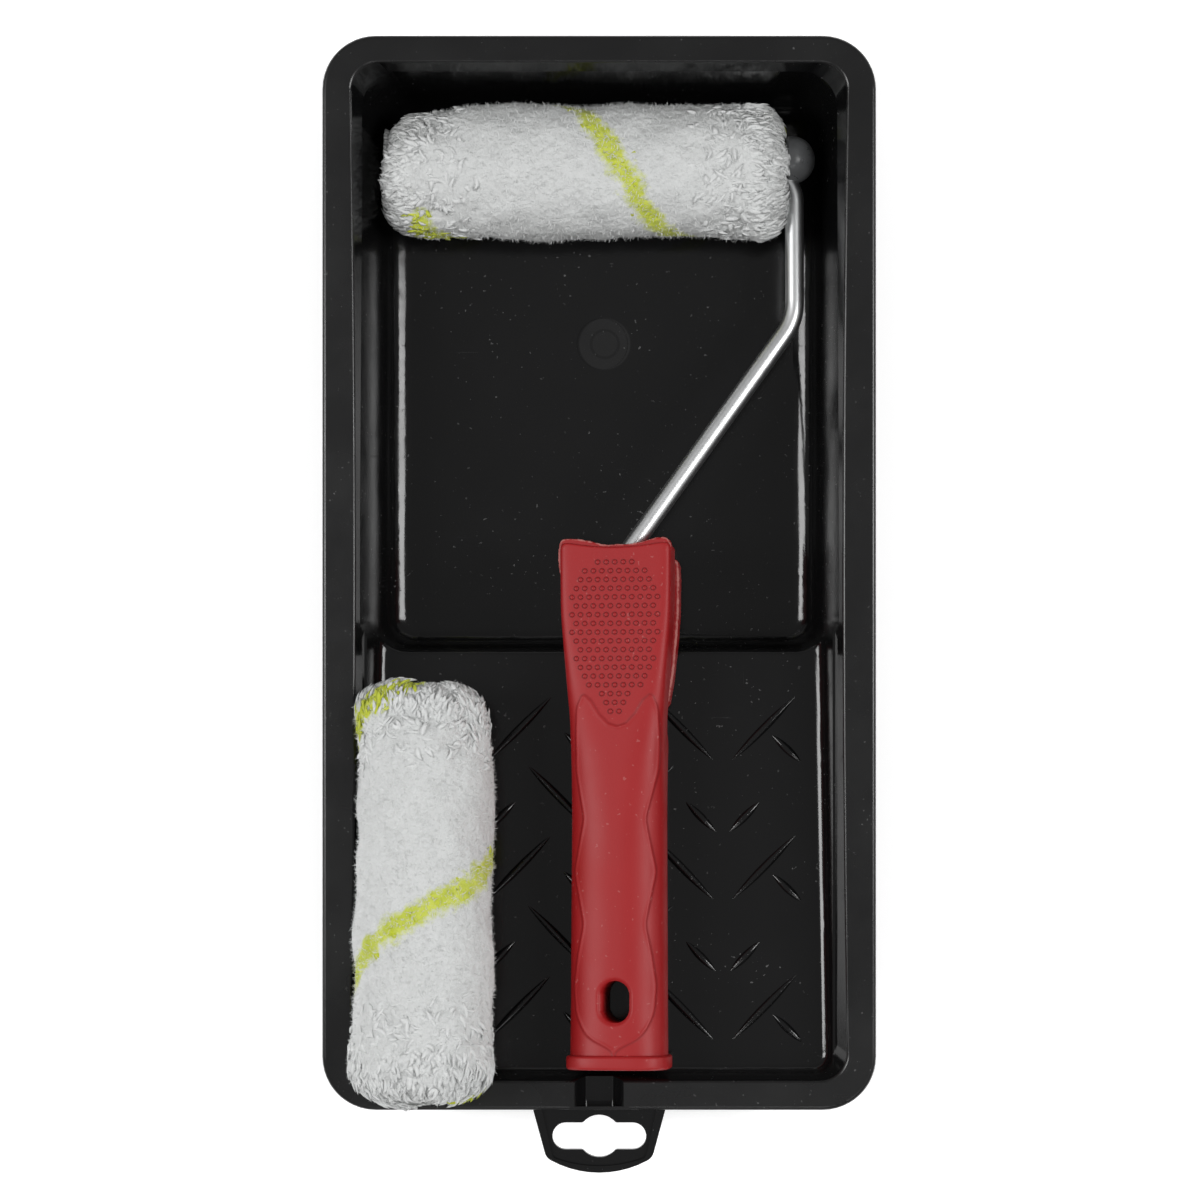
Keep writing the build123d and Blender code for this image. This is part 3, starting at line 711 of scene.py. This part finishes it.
def slab(outline, low, high, rounding, ragged, worn, seed):
    """Flat moulded layer with rounded, slightly ragged edges; gives vertices, faces and how worn each vertex is."""
    following = np.roll(outline, -1, axis=0)
    if np.sum(outline[:, 0] * following[:, 1] - following[:, 0] * outline[:, 1]) < 0:
        outline = outline[::-1]                # counter-clockwise, so that the faces point outward
    ahead = np.roll(outline, -1, axis=0) - np.roll(outline, 1, axis=0)
    out = np.c_[ahead[:, 1], -ahead[:, 0]] / np.linalg.norm(ahead, axis=1)[:, None]
    count = len(outline)
    edge = [(0.0, rounding + SLAB_INSET, 0.0)] + list(zip(*rounded_edge(rounding, 5), np.linspace(0, 1, 5)))
    levels = ([(low + along, inset, share) for along, inset, share in edge]
              + [(high - along, inset, share) for along, inset, share in reversed(edge)])
    verts, wear_and_painted_shade = [], []
    for z, inset, edge in levels:
        flat = np.c_[outline - out * inset, np.full(count, z)]
        rough = fields(flat, 0.6, seed) * 0.6 + fields(flat, 1.7, seed + 1) * 0.5
        flat[:, :2] += out * (rough * ragged * edge)[:, None]
        verts.append(flat)
        wear_and_painted_shade.append(np.clip(worn + 4 * edge * (1 - edge) * (0.6 + rough), 0, 1))
    after = len(levels) * count
    verts.append([(*outline.mean(axis=0), low), (*outline.mean(axis=0), high)])
    wear_and_painted_shade.append([worn, worn])
    under = [face[::-1] for face in fan(0, count, after)]
    faces = wall_faces(len(levels), count) + under + fan(after - count, count, after + 1)
    return np.concatenate(verts), faces, np.concatenate(wear_and_painted_shade)


REAR_LAYER = [(-13.5, -14), (-15.5, -9), (-15.75, -5), (-15.6, -1.6), (-14.9, 0.0), (-12.5, 0.35), (-9.0, -0.15),
              (-5.2, -0.9), (-3.4, -1.7), (0.0, -1.45), (4.0, -1.35), (6.8, -0.95), (9.5, -0.1), (12.2, 0.5),
              (14.3, 0.1), (15.1, -1.6), (15.1, -3.4), (14.4, -5.2), (13.2, -14)]
FINGER_STOP = [(-12.2, -48), (-15.0, -38), (-15.4, -27), (-15.4, -15), (-15.4, -7.4), (-14.8, -6.2), (-8, -5.0),
               (8, -4.4), (14.2, -3.9), (15.6, -5.0), (15.8, -10), (15.7, -19), (15.1, -27), (14.0, -38), (12.0, -48)]


def red_polypropylene():
    """Satin red moulding; its per-vertex attribute rubs it pale above 0, which is real wear, and paints shade into
    its creases below 0.
    """
    look = Look("red_polypropylene", IOR=1.46, Specular_IOR_Level=0.44)
    place = look.place()
    cloud = look.noise(45, 3, 0.6, place)
    grain = look.noise(1500, 3, 0.65, place)
    speck = look.ramp(look.noise(800, 1, 0.5, place), 0.72, 0.76)
    wear_and_painted_shade = look.node("Attribute", {"attribute_name": "wear_and_painted_shade"}).outputs["Fac"]
    worn = look.ramp(look.math("ADD", wear_and_painted_shade, look.ramp(look.noise(600, 3, 0.7, place), 0.3, 0.7, -0.25, 0.25)),
                     0.30, 0.80, 0.0, 0.8)
    # painted shade: attribute values below 0 darken the red towards near black in creases and round the dots' feet
    painted_crease_shade = look.ramp(wear_and_painted_shade, -1.0, 0.0, 0.62, 0.0)
    color = look.mix(cloud, (0.300, 0.0065, 0.008), (0.345, 0.009, 0.011))
    color = look.mix(look.math("MULTIPLY", speck, 0.12), color, (0.75, 0.45, 0.42))
    color = look.mix(painted_crease_shade, look.mix(worn, color, (0.52, 0.20, 0.18)), (0.07, 0.004, 0.005))
    rough = look.math("ADD", look.ramp(cloud, 0.3, 0.7, 0.46, 0.54), look.math("MULTIPLY", worn, 0.2))
    return look.drive(Base_Color=color, Roughness=rough, Normal=look.bump(grain, 0.035 * MM, 0.7))


RED = red_polypropylene()


def cut_hang_hole(grip):
    """Opens the hang hole right through the grip."""
    turn = np.linspace(0, 2 * math.pi, 48, endpoint=False) + 0.01
    outline = [(HOLE_ROUND * math.cos(t), -HOLE_AT + math.copysign(HOLE_HALF, math.sin(t)) + HOLE_ROUND * math.sin(t))
               for t in turn]
    verts = [(x, y, z) for z in (-CUTTER_REACH, CUTTER_REACH) for x, y in outline]
    cutter = add_mesh("hole_cutter", verts, tube_faces(2, len(outline)), handle_place, RED)
    cut = grip.modifiers.new("hole", "BOOLEAN")
    cut.operation, cut.object, cut.solver = "DIFFERENCE", cutter, "EXACT"
    bpy.context.view_layer.update()
    done = bpy.data.meshes.new_from_object(grip.evaluated_get(bpy.context.evaluated_depsgraph_get()))
    grip.modifiers.clear()
    grip.data = done
    bpy.data.objects.remove(cutter)


def flange_mesh():
    """End flange: a short rounded plate a little larger than the grip."""
    rounding = 0.8
    edge = [(0.0, rounding + CAP_INSET)] + list(zip(*rounded_edge(rounding, 6)))
    levels = ([(HANDLE_END - 0.1 + along, inset) for along, inset in edge]
              + [(HANDLE_END + FLANGE_LENGTH - along, inset) for along, inset in reversed(edge)])
    rows = []
    for s, less in levels:
        x, z = ring(FLANGE_HALF - less, FLANGE_HEIGHT - less, FLANGE_HEIGHT - less, FLANGE_SQUARE, FLANGE_AROUND)
        rows.append(np.c_[x, np.full(FLANGE_AROUND, -s), z])
    return np.concatenate(rows), tube_faces(len(rows), FLANGE_AROUND)


def handle_piece(name, verts, faces, wear_and_painted_shade=None):
    return add_mesh(name, verts, faces, handle_place, RED, wear_and_painted_shade)


grip = handle_piece("handle_grip", *grip_mesh())
dots = handle_piece("handle_dots", *dots_mesh())
rear_layer = handle_piece("handle_rear_layer", *slab(rounded_outline(REAR_LAYER), 5.5, 9.8, 0.6, 0.3, 0.1, 11))
finger_stop = handle_piece("handle_finger_stop", *slab(rounded_outline(FINGER_STOP), -10.3, -4.5, 0.7, 0.2, 0.25, 12))
end_flange = handle_piece("handle_end_flange", *flange_mesh())
cut_hang_hole(grip)
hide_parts("handle")
for piece in (grip, dots, rear_layer, finger_stop, end_flange):
    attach(piece, "roller")


# ---------------------------------------------------------------- studio
def area_light(name, location, size, power):
    data = bpy.data.lights.new(name, "AREA")
    data.shape = "RECTANGLE"
    data.size, data.size_y = size
    data.energy = power
    light = bpy.data.objects.new(name, data)
    light.location = location
    aim = Vector((0, 0, 0.02)) - Vector(location)
    light.rotation_euler = aim.to_track_quat("-Z", "Y").to_euler()
    light.visible_camera = False
    bpy.context.scene.collection.objects.link(light)


area_light("softbox_left", (-0.84, 0.05, 1.06), (0.36, 0.7), 9)
area_light("softbox_right", (0.88, 0.05, 1.06), (0.36, 0.7), 9)
area_light("softbox_front", (0.1, -0.66, 1.1), (0.5, 0.22), 1.2)

# Brightness of the surroundings by how far up a direction points, from the horizon at 0 to straight up at 1.
SKY = ((0.0, 0.78), (0.16, 0.45), (0.36, 0.20), (0.85, 0.26))
world = bpy.data.worlds.new("studio")
world.use_nodes = True
bpy.context.scene.world = world
nodes, links = world.node_tree.nodes, world.node_tree.links
coords = nodes.new("ShaderNodeTexCoord")
split = nodes.new("ShaderNodeSeparateXYZ")
ramp = nodes.new("ShaderNodeValToRGB")
stops = ramp.color_ramp.elements
stops[0].position, stops[1].position = SKY[0][0], SKY[-1][0]
for position, _ in SKY[1:-1]:
    stops.new(position)
for stop, (_, level) in zip(stops, SKY):
    stop.color = (level, level, level, 1)
links.new(coords.outputs["Generated"], split.inputs[0])
links.new(split.outputs["Z"], ramp.inputs[0])
links.new(ramp.outputs[0], nodes["Background"].inputs[0])

FLOOR_HALF = 12.0
floor_mesh = bpy.data.meshes.new("floor")
floor_mesh.from_pydata([(x * FLOOR_HALF, y * FLOOR_HALF, 0) for x, y in ((-1, -1), (1, -1), (1, 1), (-1, 1))], [],
                       [(0, 1, 2, 3)])
floor = bpy.data.objects.new("floor", floor_mesh)
floor.location.z = -0.2 * MM
bpy.context.scene.collection.objects.link(floor)
paper = Look("studio_floor", Roughness=0.9, Specular_IOR_Level=0.1, Emission_Strength=0.45)
paper.drive(Base_Color=(0.90, 0.90, 0.90), Emission_Color=(1.0, 1.0, 1.0))
floor_mesh.materials.append(paper.material)
